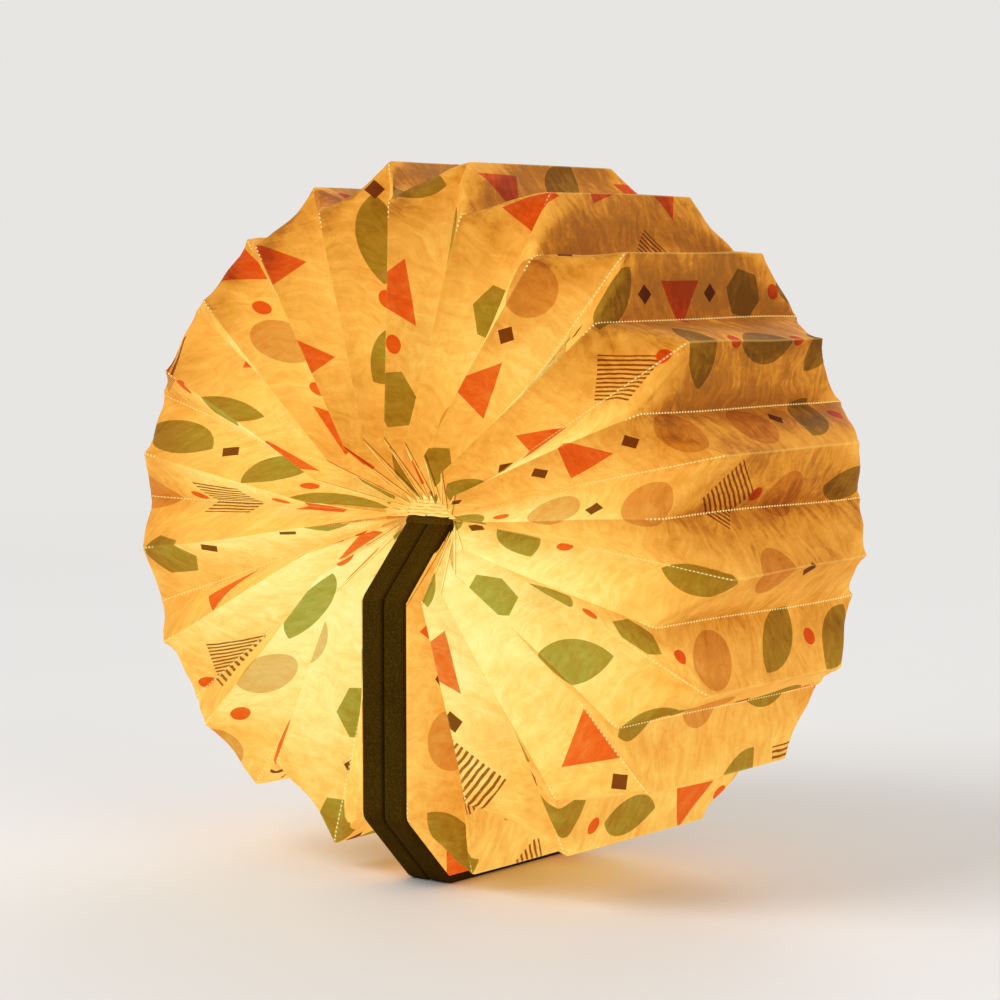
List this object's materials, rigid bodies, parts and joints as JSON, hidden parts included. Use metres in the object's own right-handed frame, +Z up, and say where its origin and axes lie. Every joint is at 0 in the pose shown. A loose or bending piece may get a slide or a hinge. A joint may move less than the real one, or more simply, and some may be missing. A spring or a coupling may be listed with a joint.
{
  "type": "folding book lamp",
  "caption": "Rechargeable lamp shaped as a book: fabric-covered boards open back to back and fan out a pleated printed paper shade lit from the spine.",
  "frame": {"origin": "midway between the two covers, under the middle of the spine, at the height of the surface that the covers stand on", "axes": "+X along the spine towards the end that faces the viewer, +Y towards the right cover's side, +Z up"},
  "size_m": [0.132, 0.2761, 0.2667],
  "materials": {
    "board": "plain fibreboard",
    "velvet": "short-pile velvet, dark olive",
    "tray_plastic": "matte",
    "led_circuit": "white-coated circuit board on an aluminium core",
    "led_chip": "lit, warm white",
    "diffuser_plastic": "translucent, lit",
    "steel": "plain",
    "dark_plastic": "moulded package",
    "lining_paper": "printed",
    "magnet_steel": "nickel plated",
    "battery_foil": "foil pouch",
    "green_circuit": "solder mask",
    "light_guide": "clear",
    "lid_card": "grey board",
    "shade_paper": "fibrous tear-proof paper, printed, lit from inside"
  },
  "bodies": {
    "spine": {"spine_board": "board", "spine_wrap": "velvet", "light_tray": "tray_plastic", "led_board": "led_circuit", "leds": "led_chip", "light_diffuser": "diffuser_plastic", "tray_screws": "steel", "opening_sensor": "dark_plastic"},
    "right_cover": {"right_board": "board", "right_wrap": "velvet", "right_lining": "lining_paper", "right_hinge_flap": "velvet", "right_magnets": "magnet_steel", "battery": "battery_foil", "charge_board": "green_circuit", "charge_socket": "steel", "charge_light": "light_guide", "board_screws": "steel", "pocket_lid": "lid_card"},
    "left_cover": {"left_board": "board", "left_wrap": "velvet", "left_lining": "lining_paper", "left_hinge_flap": "velvet", "left_magnets": "magnet_steel", "trigger_magnet": "magnet_steel"},
    "pleat_01": {"pleat_01": "shade_paper"},
    "pleat_02": {"pleat_02": "shade_paper"},
    "pleat_03": {"pleat_03": "shade_paper"},
    "pleat_04": {"pleat_04": "shade_paper"},
    "pleat_05": {"pleat_05": "shade_paper"},
    "pleat_06": {"pleat_06": "shade_paper"},
    "pleat_07": {"pleat_07": "shade_paper"},
    "pleat_08": {"pleat_08": "shade_paper"},
    "pleat_09": {"pleat_09": "shade_paper"},
    "pleat_10": {"pleat_10": "shade_paper"},
    "pleat_11": {"pleat_11": "shade_paper"},
    "pleat_12": {"pleat_12": "shade_paper"},
    "pleat_13": {"pleat_13": "shade_paper"},
    "pleat_14": {"pleat_14": "shade_paper"},
    "pleat_15": {"pleat_15": "shade_paper"},
    "pleat_16": {"pleat_16": "shade_paper"},
    "pleat_17": {"pleat_17": "shade_paper"},
    "pleat_18": {"pleat_18": "shade_paper"},
    "pleat_19": {"pleat_19": "shade_paper"},
    "pleat_20": {"pleat_20": "shade_paper"}
  },
  "joints": [
    {"name": "right_cover_hinge", "type": "hinge", "parent": "spine", "child": "right_cover", "pos_m": [0, 0.01, 0.135], "axis": [1, 0, 0], "range_deg": [0, 180]},
    {"name": "left_cover_hinge", "type": "hinge", "parent": "spine", "child": "left_cover", "pos_m": [0, -0.01, 0.135], "axis": [1, 0, 0], "range_deg": [-180, 0]},
    {"name": "pleat_01_fold", "type": "hinge", "parent": "spine", "child": "pleat_01", "pos_m": [0, 0.00924, 0.1365], "axis": [1, 0, 0], "range_deg": [0, 174.18], "deforming": ["pleat_01"]},
    {"name": "pleat_02_fold", "type": "hinge", "parent": "spine", "child": "pleat_02", "pos_m": [0, 0.0088, 0.1365], "axis": [1, 0, 0], "range_deg": [0, 154.16], "deforming": ["pleat_02"]},
    {"name": "pleat_03_fold", "type": "hinge", "parent": "spine", "child": "pleat_03", "pos_m": [0, 0.00819, 0.1365], "axis": [1, 0, 0], "range_deg": [0, 134.32], "deforming": ["pleat_03"]},
    {"name": "pleat_04_fold", "type": "hinge", "parent": "spine", "child": "pleat_04", "pos_m": [0, 0.00744, 0.1365], "axis": [1, 0, 0], "range_deg": [0, 114.84], "deforming": ["pleat_04"]},
    {"name": "pleat_05_fold", "type": "hinge", "parent": "spine", "child": "pleat_05", "pos_m": [0, 0.00655, 0.1365], "axis": [1, 0, 0], "range_deg": [0, 95.87], "deforming": ["pleat_05"]},
    {"name": "pleat_06_fold", "type": "hinge", "parent": "spine", "child": "pleat_06", "pos_m": [0, 0.00554, 0.1365], "axis": [1, 0, 0], "range_deg": [0, 77.49], "deforming": ["pleat_06"]},
    {"name": "pleat_07_fold", "type": "hinge", "parent": "spine", "child": "pleat_07", "pos_m": [0, 0.00443, 0.1365], "axis": [1, 0, 0], "range_deg": [0, 59.75], "deforming": ["pleat_07"]},
    {"name": "pleat_08_fold", "type": "hinge", "parent": "spine", "child": "pleat_08", "pos_m": [0, 0.00322, 0.1365], "axis": [1, 0, 0], "range_deg": [0, 42.63], "deforming": ["pleat_08"]},
    {"name": "pleat_09_fold", "type": "hinge", "parent": "spine", "child": "pleat_09", "pos_m": [0, 0.00196, 0.1365], "axis": [1, 0, 0], "range_deg": [0, 26.03], "deforming": ["pleat_09"]},
    {"name": "pleat_10_fold", "type": "hinge", "parent": "spine", "child": "pleat_10", "pos_m": [0, 0.00066, 0.1365], "axis": [1, 0, 0], "range_deg": [0, 9.81], "deforming": ["pleat_10"]},
    {"name": "pleat_11_fold", "type": "hinge", "parent": "spine", "child": "pleat_11", "pos_m": [0, -0.00066, 0.1365], "axis": [1, 0, 0], "range_deg": [-6.18, 0], "deforming": ["pleat_11"]},
    {"name": "pleat_12_fold", "type": "hinge", "parent": "spine", "child": "pleat_12", "pos_m": [0, -0.00196, 0.1365], "axis": [1, 0, 0], "range_deg": [-22.16, 0], "deforming": ["pleat_12"]},
    {"name": "pleat_13_fold", "type": "hinge", "parent": "spine", "child": "pleat_13", "pos_m": [0, -0.00322, 0.1365], "axis": [1, 0, 0], "range_deg": [-38.32, 0], "deforming": ["pleat_13"]},
    {"name": "pleat_14_fold", "type": "hinge", "parent": "spine", "child": "pleat_14", "pos_m": [0, -0.00443, 0.1365], "axis": [1, 0, 0], "range_deg": [-54.84, 0], "deforming": ["pleat_14"]},
    {"name": "pleat_15_fold", "type": "hinge", "parent": "spine", "child": "pleat_15", "pos_m": [0, -0.00554, 0.1365], "axis": [1, 0, 0], "range_deg": [-71.87, 0], "deforming": ["pleat_15"]},
    {"name": "pleat_16_fold", "type": "hinge", "parent": "spine", "child": "pleat_16", "pos_m": [0, -0.00655, 0.1365], "axis": [1, 0, 0], "range_deg": [-89.49, 0], "deforming": ["pleat_16"]},
    {"name": "pleat_17_fold", "type": "hinge", "parent": "spine", "child": "pleat_17", "pos_m": [0, -0.00744, 0.1365], "axis": [1, 0, 0], "range_deg": [-107.75, 0], "deforming": ["pleat_17"]},
    {"name": "pleat_18_fold", "type": "hinge", "parent": "spine", "child": "pleat_18", "pos_m": [0, -0.00819, 0.1365], "axis": [1, 0, 0], "range_deg": [-126.63, 0], "deforming": ["pleat_18"]},
    {"name": "pleat_19_fold", "type": "hinge", "parent": "spine", "child": "pleat_19", "pos_m": [0, -0.0088, 0.1365], "axis": [1, 0, 0], "range_deg": [-146.03, 0], "deforming": ["pleat_19"]},
    {"name": "pleat_20_fold", "type": "hinge", "parent": "spine", "child": "pleat_20", "pos_m": [0, -0.00924, 0.1365], "axis": [1, 0, 0], "range_deg": [-165.81, 0], "deforming": ["pleat_20"]}
  ],
  "couplings": [
    {"joint": "left_cover_hinge", "follows": "right_cover_hinge", "ratio": -1},
    {"joint": "pleat_01_fold", "follows": "right_cover_hinge", "ratio": 0.96769},
    {"joint": "pleat_02_fold", "follows": "right_cover_hinge", "ratio": 0.85647},
    {"joint": "pleat_03_fold", "follows": "right_cover_hinge", "ratio": 0.74624},
    {"joint": "pleat_04_fold", "follows": "right_cover_hinge", "ratio": 0.63801},
    {"joint": "pleat_05_fold", "follows": "right_cover_hinge", "ratio": 0.53259},
    {"joint": "pleat_06_fold", "follows": "right_cover_hinge", "ratio": 0.43051},
    {"joint": "pleat_07_fold", "follows": "right_cover_hinge", "ratio": 0.33196},
    {"joint": "pleat_08_fold", "follows": "right_cover_hinge", "ratio": 0.23681},
    {"joint": "pleat_09_fold", "follows": "right_cover_hinge", "ratio": 0.14458},
    {"joint": "pleat_10_fold", "follows": "right_cover_hinge", "ratio": 0.05452},
    {"joint": "pleat_11_fold", "follows": "right_cover_hinge", "ratio": -0.034356},
    {"joint": "pleat_12_fold", "follows": "right_cover_hinge", "ratio": -0.12313},
    {"joint": "pleat_13_fold", "follows": "right_cover_hinge", "ratio": -0.21291},
    {"joint": "pleat_14_fold", "follows": "right_cover_hinge", "ratio": -0.30468},
    {"joint": "pleat_15_fold", "follows": "right_cover_hinge", "ratio": -0.39926},
    {"joint": "pleat_16_fold", "follows": "right_cover_hinge", "ratio": -0.49717},
    {"joint": "pleat_17_fold", "follows": "right_cover_hinge", "ratio": -0.59863},
    {"joint": "pleat_18_fold", "follows": "right_cover_hinge", "ratio": -0.70348},
    {"joint": "pleat_19_fold", "follows": "right_cover_hinge", "ratio": -0.81125},
    {"joint": "pleat_20_fold", "follows": "right_cover_hinge", "ratio": -0.92119}
  ]
}
